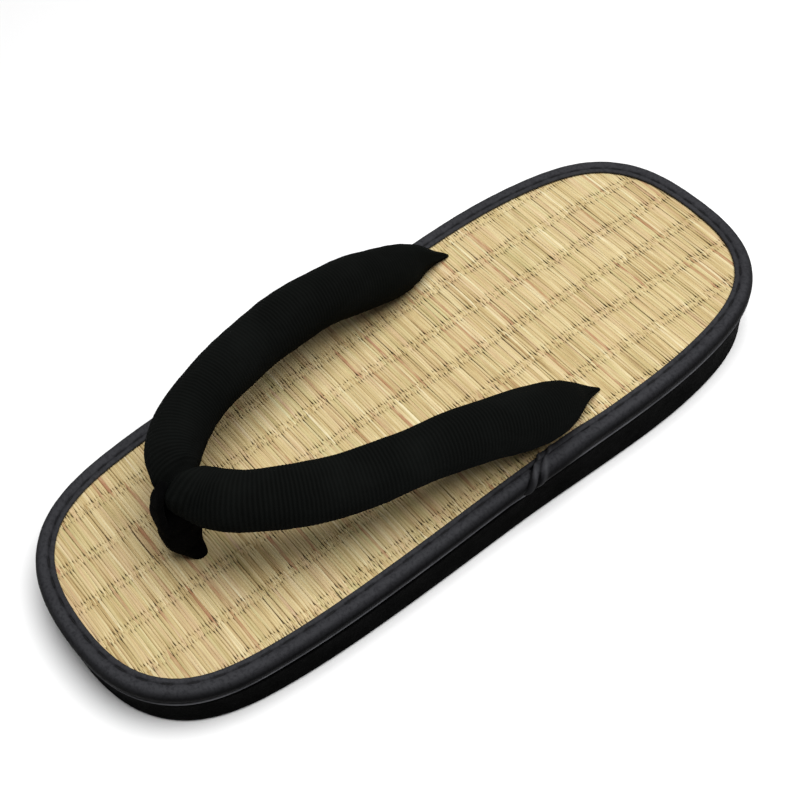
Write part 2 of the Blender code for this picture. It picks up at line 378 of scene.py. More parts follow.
def foam_material():
    n = Nodes("foam_rubber")
    fine = n.coordinates((1.0, 1.0, 1.0))
    base = n.ramp(n.noise(fine, 700.0, 4.0), [
        (0.3, (0.0003, 0.0003, 0.0003)), (0.72, (0.0017, 0.0018, 0.0017))])
    n.link(base, n.shader.inputs["Base Color"])
    n.link(n.spread(n.noise(fine, 150.0, 3.0), 0.3, 0.7, 0.78, 0.94), n.shader.inputs["Roughness"])
    n.shader.inputs["Specular IOR Level"].default_value = 0.014
    cells = n.new("ShaderNodeTexVoronoi", feature="F1")
    cells.inputs["Scale"].default_value = 1500.0
    n.link(fine, cells.inputs["Vector"])
    pores = n.sum(n.spread(cells.outputs["Distance"], 0.0, 0.7, 0.0, 1.0), n.noise(fine, 480.0, 4.0))
    n.bump(pores, 0.6, 0.00018)
    return n.material


def cloth_material():
    n = Nodes("ribbed_cloth")
    fine = n.coordinates((1.0, 1.0, 1.0))
    rib = n.attribute("rib")
    # painted shade: rib valleys darker, rib crests lighter (attribute "rib")
    base = n.ramp(rib, [(0.0, (0.0023, 0.0026, 0.0023)), (0.55, (0.0034, 0.0038, 0.0035)),
                        (1.0, (0.0047, 0.0052, 0.0047))])
    wear = n.spread(n.noise(fine, 60.0, 4.0), 0.42, 0.75, 0.0, 0.35)
    base = n.mix(wear, base, (0.0082, 0.0092, 0.0084))
    n.link(base, n.shader.inputs["Base Color"])
    n.link(n.spread(n.noise(fine, 35.0, 3.0), 0.3, 0.7, 0.86, 0.96), n.shader.inputs["Roughness"])
    n.shader.inputs["Specular IOR Level"].default_value = 0.008
    n.shader.inputs["Sheen Weight"].default_value = 0.004
    n.shader.inputs["Sheen Roughness"].default_value = 0.55
    n.shader.inputs["Sheen Tint"].default_value = (0.80, 0.90, 0.86, 1.0)
    spun = n.new("ShaderNodeTexWave", wave_type="BANDS", bands_direction="X", wave_profile="SIN")
    spun.inputs["Scale"].default_value = 1.0
    spun.inputs["Distortion"].default_value = 1.4
    spun.inputs["Detail"].default_value = 2.0
    around = n.new("ShaderNodeCombineXYZ")
    n.link(n.attribute("round"), around.inputs["X"])
    n.link(n.attribute("along"), around.inputs["Y"])
    n.link(around.outputs["Vector"], spun.inputs["Vector"])
    height = n.sum(spun.outputs["Fac"], n.noise(fine, 2600.0, 3.0))
    n.bump(height, 0.45, 0.00012)
    return n.material


def velvet_material():
    n = Nodes("napped_cloth")
    fine = n.coordinates((1.0, 1.0, 1.0))
    base = n.ramp(n.noise(fine, 320.0, 5.0), [
        (0.34, (0.0004, 0.0004, 0.0004)), (0.70, (0.0020, 0.0020, 0.0021))])
    n.link(base, n.shader.inputs["Base Color"])
    n.shader.inputs["Roughness"].default_value = 1.0
    n.shader.inputs["Specular IOR Level"].default_value = 0.02
    n.shader.inputs["Sheen Weight"].default_value = 0.006
    n.shader.inputs["Sheen Roughness"].default_value = 0.4
    n.bump(n.noise(fine, 2400.0, 4.0), 0.8, 0.0003)
    return n.material


def thread_material():
    n = Nodes("black_thread")
    fine = n.coordinates((1.0, 1.0, 1.0))
    base = n.ramp(n.noise(fine, 1500.0, 3.0), [
        (0.3, (0.0030, 0.0030, 0.0032)), (0.7, (0.0100, 0.0100, 0.0108))])
    n.link(base, n.shader.inputs["Base Color"])
    n.shader.inputs["Roughness"].default_value = 0.8
    n.shader.inputs["Specular IOR Level"].default_value = 0.25
    n.bump(n.noise(fine, 3000.0, 2.0), 0.5, 0.0001)
    return n.material


# ------------------------------------------------------------ woven footbed
STALK_PITCH = 0.96
GROUP_PITCH = 14.75
DRIFT = ((-128.0, -6.6), (-117.0, -5.5), (-85.0, -2.4), (-50.0, 0.0), (-8.0, 1.8), (13.0, 2.9),
         (50.0, 3.6), (88.0, 4.2), (121.0, 5.4), (128.0, 5.7))


def warp_line(index, station):
    """Side position of a pair of warps, as it wanders along the mat."""
    rows = np.array(DRIFT)
    drift = spline(rows[:, 0], rows[:, 1:], np.atleast_1d(station))[:, 0]
    lean = 0.35 * np.sin(np.atleast_1d(station) / 31.0 + index * 1.7)
    return GROUP_PITCH * index + drift + lean


def rush_edges():
    edge = RIM_POINTS + RIM_OUT * 2.5
    right = edge[edge[:, 0] >= -1e-6]
    right = right[np.argsort(right[:, 1])]
    return right[:, 1], np.maximum(right[:, 0], 0.0)


def make_stalks(material):
    """Every visible float of rush: over one field of the weave, then down between its pair of warps."""
    rng = np.random.default_rng(11)
    edge_y, edge_x = rush_edges()
    profile = np.array([(-1.0, -0.02), (-0.55, 0.70), (0.55, 0.70), (1.0, -0.02), (0.0, -0.45)])
    sides = len(profile)
    drop_at = np.array([-3.0, -1.80, -1.25, -0.60, 0.60, 1.30, 2.00, 3.20, 7.4, 20.0])
    drop = np.array([1.10, 1.05, 0.62, 0.24, 0.12, 0.15, 0.07, 0.0, 0.0, 0.0])
    thin = np.array([0.36, 0.38, 0.46, 0.54, 0.55, 0.62, 0.86, 1.0, 1.0, 1.0])
    count = int(257.0 / STALK_PITCH)
    start = -count * STALK_PITCH / 2.0
    made = []
    for parity in (0, 1):
        vertices, faces = [], []
        tones, reds, greens, painted_dip_shade = [], [], [], []
        stations = start + (np.arange(count) + 0.5 * parity) * STALK_PITCH
        stations = stations + rng.normal(0.0, 0.05, count)
        wide = np.clip(rng.normal(1.0, 0.11, count), 0.72, 1.25)
        lift = np.clip(rng.normal(0.0, 0.05, count), -0.13, 0.07)
        drift = ripple(stations, 17 + parity, 4.0, 16.0, 9)
        tone = np.clip(0.50 + 0.10 * drift + rng.normal(0.0, 0.09, count), 0.06, 0.94)
        tone = np.where(rng.random(count) < 0.045, rng.uniform(0.74, 0.92, count), tone)
        red = np.where(rng.random(count) < 0.055, rng.uniform(0.35, 0.85, count), 0.0)
        green = np.where(rng.random(count) < 0.35, rng.uniform(0.2, 0.9, count), 0.0)
        for j in range(count):
            y = stations[j]
            if not edge_y[0] < y < edge_y[-1]:
                continue
            reach = float(np.interp(y, edge_y, edge_x))
            if reach < 1.0:
                continue
            for column in range(-5, 5):
                if column % 2 != parity:
                    continue
                x0 = float(warp_line(column, y)[0])
                x1 = float(warp_line(column + 1, y)[0])
                span = x1 - x0
                s = np.array([-1.80, -1.25, -0.60, 0.60, 1.30, 2.00, 3.20, span / 2.0, span - 3.20,
                              span - 2.00, span - 1.30, span - 0.60, span + 0.60, span + 1.25, span + 1.80])
                x = x0 + s
                inside = (x > -reach) & (x < reach)
                if not inside.any():
                    continue
                x = x[inside]
                if x0 + s[0] < -reach:
                    x = np.concatenate([[-reach], x])
                if x0 + s[-1] > reach:
                    x = np.concatenate([x, [reach]])
                if len(x) < 3 or x[-1] - x[0] < 1.0:
                    continue
                s = x - x0
                near = np.minimum(s + rng.normal(0.0, 0.38), span - s + rng.normal(0.0, 0.38))
                depth = np.where(s < span / 2.0, rng.uniform(0.30, 1.1), rng.uniform(0.30, 1.1))
                crown = 0.07 * (1.0 - ((s - span / 2.0) / (span / 2.0)) ** 2)
                centre = (-0.36 + crown + lift[j] + rng.normal(0.0, 0.022)
                          - depth * np.interp(near, drop_at, drop) + rng.normal(0.0, 0.012, len(x)))
                half = 0.5 * STALK_PITCH * wide[j] * 1.37 * np.interp(near, drop_at, thin)
                half = half * rng.uniform(0.95, 1.05, len(x))
                tall = 0.44 * (0.75 + 0.25 * np.interp(near, drop_at, thin))
                sway = y + rng.normal(0.0, 0.045) + 0.07 * np.sin(x / 5.3 + j * 1.3 + column)
                base = len(vertices)
                own_tone = tone[j] + rng.normal(0.0, 0.075)
                own_red = red[j] * (1.0 if rng.random() < 0.75 else 0.25)
                if rng.random() < 0.02:
                    own_red = rng.uniform(0.4, 0.9)
                for i in range(len(x)):
                    ring_y = sway[i] + half[i] * profile[:, 0]
                    ring_z = centre[i] + tall[i] * profile[:, 1]
                    for a in range(sides):
                        vertices.append((x[i], ring_y[a], ring_z[a]))
                        # painted shade weight: grows as the stalk dips below the mat's face
                        painted_dip_shade.append(min(1.0, max(0.0, (-0.44 - ring_z[a]) / 0.60)))
                    tones += [own_tone] * sides
                    reds += [own_red] * sides
                    greens += [green[j]] * sides
                faces += grid_faces(len(x), sides, base)
                faces.append(tuple(base + a for a in range(sides))[::-1])
                faces.append(tuple(base + (len(x) - 1) * sides + a for a in range(sides)))
        made.append(build("rush_stalks_" + "ab"[parity], to_ground(vertices), faces, material,
                          ("rush_footbed",),
                          {"tone": tones, "red": reds, "green": greens, "deep": painted_dip_shade}, fix_normals=True))
        print(made[-1].name, sum(len(f) - 2 for f in faces), "triangles")
    return made


def make_warps(material):
    """Thin warp cords of each pair, over one stalk and under the next."""
    edge_y, edge_x = rush_edges()
    vertices, faces = [], []
    steps = int(254.0 / STALK_PITCH) * 4
    run = np.linspace(-127.0, 127.0, steps)
    for index in range(-4, 5):
        for side in (-1.0, 1.0):
            x = warp_line(index, run) + side * 1.35
            reach = np.interp(run, edge_y, edge_x, left=0.0, right=0.0)
            inside = np.abs(x) < reach - 0.2
            if inside.sum() < 12:
                continue
            keep = np.nonzero(inside)[0]
            keep = np.arange(keep[0], keep[-1] + 1)
            wave = np.sin(2.0 * math.pi * (run[keep] + 0.25 * STALK_PITCH * (1 + side)) / STALK_PITCH)
            z = -0.74 + 0.20 * wave
            base = len(vertices)
            for px, py, pz in zip(x[keep], run[keep], z):
                for a in range(3):
                    turn = 2.0 * math.pi * a / 3.0 + 0.5
                    vertices.append((px + 0.17 * math.cos(turn), py, pz + 0.17 * math.sin(turn)))
            faces += grid_faces(len(keep), 3, base)
            faces.append((base + 2, base + 1, base))
            last = base + (len(keep) - 1) * 3
            faces.append((last, last + 1, last + 2))
    return build("warp_cords", to_ground(vertices), faces, material, fix_normals=True)


def make_backing(material):
    section = ((2.6, -1.05), (3.4, -1.1), (4.3, -1.5), (4.8, -2.2), (4.85, -3.1), (4.4, -3.95))
    run = np.linspace(0.0, RIM_LENGTH, 240, endpoint=False)
    point, out = rim_at(run)
    loops = []
    for offset, height in section:
        loops.append(np.column_stack([point + out * offset, np.full(len(run), height)]))
    faces = grid_faces(len(section), len(run))
    faces.append(tuple(range(len(run)))[::-1])
    faces.append(tuple((len(section) - 1) * len(run) + k for k in range(len(run))))
    return build("rush_backing", to_ground(np.vstack(loops)), faces, material, fix_normals=True)


# ------------------------------------------------------------------ binding
BINDING = (
    (0.40, 0.30), (0.12, 0.42), (0.00, 0.72), (0.08, 1.05), (0.35, 1.28), (0.72, 1.36), (1.08, 1.31),
    (1.38, 1.24), (1.62, 1.14), (1.85, 1.10), (2.08, 1.15), (2.32, 1.27), (2.65, 1.42), (3.08, 1.53),
    (3.55, 1.59), (4.05, 1.57), (4.58, 1.45), (5.08, 1.20), (5.54, 0.80), (5.92, 0.24), (6.20, -0.42),
    (6.36, -1.15), (6.42, -1.85), (6.36, -2.52), (6.16, -3.10), (5.84, -3.56), (5.50, -3.86),
    (5.46, -4.10), (5.82, -4.28), (6.22, -4.46), (6.34, -4.78), (6.16, -5.08), (5.74, -5.20),
    (5.00, -5.22), (3.00, -5.20), (3.00, -4.30), (4.70, -4.25), (5.25, -3.30), (5.20, -1.50),
    (4.40, -0.30), (3.40, 0.28),
)
OUTER = 33
STITCH = 7.2


def binding_runs():
    """Stations round the rim, closer together at the lap."""
    base = np.linspace(0.0, RIM_LENGTH, 760, endpoint=False)
    side = (RIM_POINTS[:, 0] < 0.0)
    near = RIM_RUN[side & (RIM_POINTS[:, 1] > -44.0) & (RIM_POINTS[:, 1] < 6.0)]
    fine = np.arange(near.min(), near.max(), 0.28)
    base = base[(base < near.min()) | (base > near.max())]
    return np.sort(np.concatenate([base, fine]))


def binding_surface(run):
    """Grid of the binding's section round the rim, in the top frame, with weights for its crest (partly wear, partly
    painted highlight), its painted hem highlight and its painted shade.
    """
    profile = np.array(BINDING)
    way = np.roll(profile, -1, axis=0) - np.roll(profile, 1, axis=0)
    way /= np.linalg.norm(way, axis=1)[:, None]
    normal = np.column_stack([-way[:, 1], way[:, 0]])
    point, out = rim_at(run)
    along = np.gradient(run)
    turn = np.abs(np.gradient(np.unwrap(np.arctan2(out[:, 1], out[:, 0])), run))
    curved = smooth(turn / 0.022)
    offset = np.tile(profile[:, 0], (len(run), 1))
    height = np.tile(profile[:, 1], (len(run), 1))
    q = np.arange(len(profile))

    roll = np.exp(-((q - 14) / 5.5) ** 2)
    groove = np.exp(-((q - 9) / 1.15) ** 2)
    skirt = np.exp(-((q - 23) / 4.0) ** 2)
    phase = np.mod(run / STITCH, 1.0)
    dash = smooth((phase - 0.06) / 0.12) * smooth((0.66 - phase) / 0.12)
    disp = np.zeros_like(offset)
    disp += np.outer(0.05 * round_wave(run, 3, 9, 40) + 0.05 * (1.0 - dash), roll)
    disp -= np.outer(0.02 + 0.42 * dash, groove)
    disp += np.outer(0.08 * round_wave(run, 5, 12, 55), skirt)
    gather = np.sin(2 * math.pi * run * round(RIM_LENGTH / 3.1) / RIM_LENGTH + 1.2 * round_wave(run, 8, 9, 30))
    disp += np.outer(0.035 * curved * gather, np.exp(-((q - 5) / 3.5) ** 2) + 0.6 * roll)

    # the lap: the tape's folded end lies over its other end, on a slant
    lap_side = (point[:, 0] < 0.0)
    station = point[:, 1]
    share = np.clip((q - 3) / (30.0 - 3.0), 0.0, 1.0)
    fold = -14.0 + 13.0 * share ** 1.1
    behind = fold[None, :] - station[:, None]
    covered = smooth(behind / 0.55) * smooth((30.0 - behind) / 16.0)
    bead = np.exp(-((behind - 1.1) / 0.9) ** 2)
    lap = 0.78 * covered + 0.36 * bead * covered
    crease = (-0.44 * np.exp(-((behind - 3.4 - 0.9 * np.sin(q / 5.0)[None, :]) / 0.55) ** 2)
              + 0.30 * np.exp(-((behind - 5.6) / 1.0) ** 2)
              - 0.34 * np.exp(-((behind + 1.5 - 1.2 * share[None, :]) / 0.7) ** 2) * (share[None, :] > 0.2))
    lap = (lap + crease) * lap_side[:, None]
    lap = lap * smooth((q - 1.0) / 3.0)[None, :] * smooth((30.0 - q) / 5.0)[None, :]
    disp += lap

    offset = offset + disp * normal[None, :, 0]
    height = height + disp * normal[None, :, 1]

    # the hem sits higher on the toe side of the lap than on the heel side
    toe_side = smooth((station + 5.0) / 8.0) * lap_side
    hem = -4.05 + 0.15 * round_wave(run, 21, 30, 120) + 0.90 * toe_side * smooth((118.0 - station) / 40.0)
    low = (q >= 19) & (q <= 32)
    scale = (hem + 0.08) / (-4.95 + 0.08)
    height[:, low] = -0.08 + (height[:, low] + 0.08) * scale[:, None]

    grid = np.empty(offset.shape + (3,))
    grid[..., 0] = point[:, None, 0] + out[:, None, 0] * offset
    grid[..., 1] = point[:, None, 1] + out[:, None, 1] * offset
    grid[..., 2] = height
    # crest: partly wear, partly painted highlight on the roll, the inner lip and the hem bead
    crest = np.tile(np.exp(-((q - 14.5) / 2.6) ** 2) + 0.3 * np.exp(-((q - 5) / 1.6) ** 2)
                    + 0.9 * np.exp(-((q - 30) / 1.2) ** 2), (len(run), 1))
    crest = crest + np.clip(bead, 0, 1) * lap_side[:, None] * 0.5
    # painted highlight along the hem bead, and along the lap's bead
    painted_hem_highlight = np.tile(np.exp(-((q - 29.4) / 1.1) ** 2), (len(run), 1))
    # painted shade: the tape's side from the shoulder down to the hem, the stitch groove, and the lap's edge and
    # creases
    painted_shade_band = (np.tile(smooth((q - 15.2) / 5.4) * smooth((28.6 - q) / 1.8), (len(run), 1))
                 + np.outer(0.50 + 0.50 * dash, np.exp(-((q - 9) / 1.20) ** 2)))
    shown = lap_side[:, None] * (smooth((q - 1.0) / 3.0) * smooth((29.0 - q) / 5.0))[None, :]
    painted_shade_band = painted_shade_band + shown * (
        0.90 * np.exp(-((behind + 0.30) / 0.45) ** 2)
        + 0.75 * np.exp(-((behind - 3.4 - 0.9 * np.sin(q / 5.0)[None, :]) / 0.50) ** 2)
        + 0.50 * np.exp(-((behind + 1.5 - 1.2 * share[None, :]) / 0.6) ** 2) * (share[None, :] > 0.2))
    painted_hem_highlight = painted_hem_highlight + 0.20 * shown * (bead + np.exp(-((behind - 5.4) / 0.8) ** 2))
    return grid, crest, painted_hem_highlight, painted_shade_band


def make_binding(material):
    run = binding_runs()
    grid, crest, painted_hem_highlight, painted_shade_band = binding_surface(run)
    rows, columns = grid.shape[:2]
    faces = grid_faces(rows, columns, wrap_rows=True)
    return build("binding_tape", to_ground(grid.reshape(-1, 3)), faces, material,
                 ("edge_binding",), {"crest": np.clip(crest, 0, 1).reshape(-1), "hem": painted_hem_highlight.reshape(-1),
                                      "fold": painted_shade_band.reshape(-1)}, fix_normals=True)


def make_stitches(material):
    """Sunk running stitches in the groove of the binding."""
    rng = np.random.default_rng(5)
    vertices, faces = [], []
    count = int(RIM_LENGTH / STITCH)
    for j in range(count):
        middle = (j + 0.36) * STITCH
        point, _ = rim_at(np.array([middle]))
        if point[0, 0] < 0 and -17.5 < point[0, 1] < -9.5:
            continue
        t = np.linspace(-1.0, 1.0, 9)
        run = middle + t * 2.05 + rng.normal(0, 0.08)
        point, out = rim_at(run)
        offset = 1.86 + rng.normal(0, 0.05) + 0.05 * t
        height = 0.70 - 0.55 * np.abs(t) ** 5
        path = np.column_stack([point + out * np.atleast_1d(offset)[:, None], height])
        way = np.gradient(path, axis=0)
        way /= np.linalg.norm(way, axis=1)[:, None]
        side = np.cross(way, (0, 0, 1.0))
        side /= np.linalg.norm(side, axis=1)[:, None]
        up = np.cross(side, way)
        base = len(vertices)
        for i in range(len(path)):
            for a in range(8):
                turn = 2 * math.pi * a / 8
                vertices.append(path[i] + 0.21 * math.cos(turn) * side[i] + 0.18 * math.sin(turn) * up[i])
        faces += grid_faces(len(path), 8, base)
        faces.append(tuple(base + a for a in range(8))[::-1])
        faces.append(tuple(base + (len(path) - 1) * 8 + a for a in range(8)))
    return build("binding_stitches", to_ground(np.array(vertices)), faces, material,
                 fix_normals=True)


# --------------------------------------------------------------------- sole
def make_sole(material):
    run = np.linspace(0.0, RIM_LENGTH, 480, endpoint=False)
    point, out = rim_at(run)
    loops = []
    for offset, height in ((2.2, -4.25), (2.7, -4.45), (2.7, -5.5), (4.9, -5.5), (5.30, -5.56), (5.55, -5.72),
                           (5.68, -6.0)):
        loops.append(to_ground(np.column_stack([point + out * offset, np.full(len(run), height)])))
    top = to_ground(np.column_stack([point + out * 5.7, np.full(len(run), -6.1)]))
    flat = np.column_stack([point + out * 5.3, np.zeros(len(run))])
    flat[:, 1] = flat[:, 1] * math.cos(LEAN) - SHIFT_Y
    flat[:, 2] = 2.6
    low = flat * MM
    wave = round_wave(run, 31, 18, 90) * 0.10
    for t in (0.08, 0.2, 0.33, 0.46, 0.59, 0.72, 0.85, 1.0):
        ring = top * (1.0 - t) + low * t
        dent = (-0.28 * math.sin(math.pi * t) + wave * math.sin(math.pi * t)) * MM
        ring[:, 0] += out[:, 0] * dent
        ring[:, 1] += out[:, 1] * dent
        loops.append(ring)
    for offset, height in ((5.28, 1.9), (5.16, 1.2), (4.95, 0.65), (4.65, 0.25), (4.25, 0.04), (4.0, 0.0)):
        flat = np.column_stack([point + out * offset, np.zeros(len(run))])
        flat[:, 1] = flat[:, 1] * math.cos(LEAN) - SHIFT_Y
        flat[:, 2] = height
        loops.append(flat * MM)
    faces = grid_faces(len(loops), len(run))
    faces.append(tuple(range(len(run)))[::-1])
    faces.append(tuple((len(loops) - 1) * len(run) + k for k in range(len(run))))
    return build("foam_wedge", np.vstack(loops), faces, material, ("foam_outsole",),
                 fix_normals=True)


# ------------------------------------------------------------------- straps
# Side, station, height in the top frame, radius, from the middle of the joint.
# The two arms of the real one are not quite alike.
ARM_FAR = (
    (0.0, 82.8, 33.9, 4.3), (1.8, 82.7, 34.0, 7.0), (4.1, 82.0, 34.0, 7.9), (9.0, 79.9, 33.8, 8.4),
    (13.8, 76.0, 33.1, 8.6), (22.4, 63.7, 31.4, 8.75), (28.1, 49.4, 29.7, 9.0), (35.1, 17.1, 25.7, 9.45),
    (36.9, 2.7, 21.7, 9.6), (37.7, -7.8, 17.7, 9.85), (38.3, -19.9, 12.7, 9.3), (39.2, -30.6, 8.7, 7.2),
    (39.4, -37.0, 6.1, 4.8), (39.1, -41.3, 4.0, 2.8), (38.8, -45.0, 2.3, 1.4), (38.7, -47.6, 0.7, 0.55),
)
ARM_NEAR = (
    (0.0, 82.8, 33.9, 4.3), (1.8, 82.6, 33.9, 7.4), (4.0, 81.6, 33.4, 8.3), (8.6, 79.0, 32.7, 8.7),
    (13.5, 75.3, 32.9, 9.1), (21.8, 63.3, 31.8, 9.2), (27.8, 49.1, 29.6, 9.05), (34.8, 17.0, 25.8, 8.9),
    (36.5, 2.7, 21.6, 9.2), (37.8, -7.8, 17.6, 9.7), (38.8, -19.9, 12.6, 9.7), (38.8, -30.6, 8.5, 7.5),
    (38.5, -36.9, 5.9, 4.4), (38.4, -41.0, 3.9, 2.6), (38.5, -44.3, 2.3, 1.4), (38.6, -46.9, 0.8, 0.55),
)
COARSE_RINGS = 58
COARSE_SIDES = 32
DENSE_SIDES = 64
RIB_PITCH = 1.2
RINGS_PER_RIB = 4


def arm_rings(table, where, shrink=1.0, sides=COARSE_SIDES):
    """Round rings along one arm, the first one flat on the middle plane."""
    rows = np.array(table)
    knots = chord(rows[:, :3])
    where = np.asarray(where) * knots[-1]
    path = spline(knots, rows[:, :3], where)
    radius = spline(knots, rows[:, 3:], where)[:, 0] * shrink
    way = np.gradient(path, axis=0)
    way /= np.linalg.norm(way, axis=1)[:, None]
    turn_in = smooth(1.0 - where / 9.0)
    way = way * (1.0 - turn_in[:, None]) + np.array([1.0, 0.0, 0.0]) * turn_in[:, None]
    way /= np.linalg.norm(way, axis=1)[:, None]
    side = np.cross(way, (0.0, 0.0, 1.0))
    side /= np.linalg.norm(side, axis=1)[:, None]
    up = np.cross(side, way)
    angle = np.linspace(0.0, 2.0 * math.pi, sides, endpoint=False)
    grid = (path[:, None, :] + radius[:, None, None]
            * (np.cos(angle)[None, :, None] * side[:, None, :] + np.sin(angle)[None, :, None] * up[:, None, :]))
    return grid, path, where


def puff(grid, limit, seed):
    """Inflate a closed tube of cloth with its two ends held, and cap how far any point goes."""
    rows, columns = grid.shape[:2]
    faces = grid_faces(rows, columns)
    faces.append(tuple(range(columns))[::-1])
    faces.append(tuple((rows - 1) * columns + k for k in range(columns)))
    mesh = bpy.data.meshes.new("puff")
    rng = np.random.default_rng(seed)
    start = grid.reshape(-1, 3) * MM
    start = start + rng.normal(0.0, 0.00004, start.shape)
    start[:columns] = grid[0] * MM
    mesh.from_pydata([tuple(map(float, v)) for v in start], [], faces)
    obj = bpy.data.objects.new("puff", mesh)
    bpy.context.scene.collection.objects.link(obj)
    pins = obj.vertex_groups.new(name="pins")
    for i in range(rows):
        weight = max(smooth(1.0 - i / 3.0), smooth((i - (rows - 12)) / 7.0))
        if weight > 0.0:
            pins.add([i * columns + k for k in range(columns)], float(weight), "REPLACE")
    modifier = obj.modifiers.new("Cloth", "CLOTH")
    setting = modifier.settings
    setting.quality = 7
    setting.mass = 0.08
    setting.tension_stiffness = 22.0
    setting.compression_stiffness = 9.0
    setting.shear_stiffness = 6.0
    setting.bending_stiffness = 0.35
    setting.use_pressure = True
    setting.uniform_pressure_force = 4.0
    setting.vertex_group_mass = "pins"
    setting.effector_weights.gravity = 0.0
    scene = bpy.context.scene
    for step in range(1, 21):
        scene.frame_set(step)
    shown = obj.evaluated_get(bpy.context.evaluated_depsgraph_get())
    end = np.array([v.co[:] for v in shown.data.vertices])
    scene.frame_set(1)
    bpy.data.objects.remove(obj, do_unlink=True)
    bpy.data.meshes.remove(mesh)
    if end.shape != start.shape or not np.isfinite(end).all():
        return grid
    move = (end - grid.reshape(-1, 3) * MM) / MM
    far = np.linalg.norm(move, axis=1)
    move *= np.minimum(1.0, limit / np.maximum(far, 1e-9))[:, None]
    print("puff moved", round(float(np.linalg.norm(move, axis=1).mean()), 3), "mm on average")
    return (grid.reshape(-1, 3) + move).reshape(grid.shape)


def denser(grid, where, rows, sides):
    """Cubic along the tube and periodic round it."""
    flat = spline(where, grid.reshape(len(grid), -1), rows).reshape(len(rows), grid.shape[1], 3)
    wave = np.fft.rfft(flat, axis=1)
    wide = np.zeros((len(rows), sides // 2 + 1, 3), complex)
    wide[:, :wave.shape[1]] = wave
    wide[:, wave.shape[1] - 1] *= 0.5
    return np.fft.irfft(wide, n=sides, axis=1) * (sides / grid.shape[1])


def make_straps(material):
    """Both padded arms, ribbed across, meeting in a crease on the middle plane."""
    where = np.linspace(0.0, 1.0, COARSE_RINGS)
    vertices, faces, rib_valley_shade, rounds, alongs, starts = [], [], [], [], [], []
    for mirror in (1.0, -1.0):
        table = ARM_FAR if mirror > 0 else ARM_NEAR
        full, path, run = arm_rings(table, where)
        length = run[-1]
        soft = full.copy()
        soft = puff(arm_rings(table, where, 0.965)[0], 1.4, 41 if mirror > 0 else 42)
        # each ring keeps the size that it was cut to, and the folds that the padding gave it
        middle = soft.mean(axis=1, keepdims=True)
        size = np.linalg.norm(soft - middle, axis=2).mean(axis=1)
        aim = np.linalg.norm(full - full.mean(axis=1, keepdims=True), axis=2).mean(axis=1)
        soft = full.mean(axis=1, keepdims=True) + (soft - middle) * (aim / size)[:, None, None]
        soft[0, :, 0] = 0.0
        count = int(length / RIB_PITCH * RINGS_PER_RIB)
        arc = np.linspace(0.0, run[-1], count)
        dense = denser(soft, run, arc, DENSE_SIDES)
        normal = grid_normals(dense)
        centre = dense.mean(axis=1, keepdims=True)
        if ((dense - centre) * normal).sum() < 0.0:
            normal = -normal
        angle = np.linspace(0.0, 2.0 * math.pi, DENSE_SIDES, endpoint=False)[None, :]
        s = arc[:, None]
        seed = 60 if mirror > 0 else 80
        ease = smooth(s / 3.0) * smooth((run[-1] - s) / 5.0)
        drift = 0.35 * np.sin(angle + s / 17.0 + seed) + 0.25 * np.sin(2 * angle - s / 11.0)
        rib = 0.5 - 0.5 * np.cos(2.0 * math.pi * (s / RIB_PITCH + 0.10 * drift))
        rib_height = 0.115 * (0.8 + 0.2 * np.sin(s / 5.0 + 2.0 * angle)) * (1.0 - 0.72 * smooth((s - 42.0) / 55.0))
        lump = (0.16 * np.sin(s / 7.3 + 1.7 * np.sin(angle + 0.4 * seed)) * np.cos(angle - 0.6)
                + 0.12 * np.sin(s / 4.1 + 2.0 * angle + seed))
        near = np.exp(-(s / 7.5) ** 2)
        folds = -0.35 * near * (0.5 + 0.5 * np.cos(5.0 * angle + 0.35 * s + 0.6)) * smooth(s / 1.5)
        tail = smooth((s - (run[-1] - 26.0)) / 14.0) * smooth((run[-1] - s) / 3.0)
        pleats = -0.32 * tail * (0.5 + 0.5 * np.cos(7.0 * angle + 0.8))
        seam = -0.35 * np.exp(-((angle - 1.5 * math.pi) / 0.055) ** 2)
        disp = ease * (rib_height * (rib - 0.5) + lump) + folds + pleats + seam * ease
        dense = dense + normal * disp[:, :, None]
        dense[0, :, 0] = 0.0
        dense[..., 0] = np.maximum(dense[..., 0], 0.0)
        dense[..., 0] *= mirror
        base = len(vertices)
        starts.append(base)
        vertices += [tuple(v) for v in dense.reshape(-1, 3)]
        # painted shade weight: low in the rib valleys, high on the crests, middling where the ribs ease out
        rib_valley_shade += list((rib * ease + 0.5 * (1 - ease)).reshape(-1))
        rounds += list(np.tile(angle * 9.0 * 2.2, (count, 1)).reshape(-1))
        alongs += list(np.tile(s, (1, DENSE_SIDES)).reshape(-1))
        quads = grid_faces(count, DENSE_SIDES, base)
        quads.append(tuple(base + (count - 1) * DENSE_SIDES + k for k in range(DENSE_SIDES)))
        faces += quads if mirror > 0 else [tuple(reversed(f)) for f in quads]
    # weld the two arms' first rings
    weld = {starts[1] + k: k for k in range(DENSE_SIDES)}
    faces = [tuple(weld.get(i, i) for i in f) for f in faces]
    keep = [i for i in range(len(vertices)) if i not in weld]
    place = {old: new for new, old in enumerate(keep)}
    vertices = [vertices[i] for i in keep]
    faces = [tuple(place[i] for i in f) for f in faces]
    pick = lambda values: [values[i] for i in keep]
    obj = build("padded_straps", to_ground(np.array(vertices)), faces, material,
                ("hanao_straps",), {"rib": pick(rib_valley_shade), "round": pick(rounds), "along": pick(alongs)},
                fix_normals=True)
    return obj


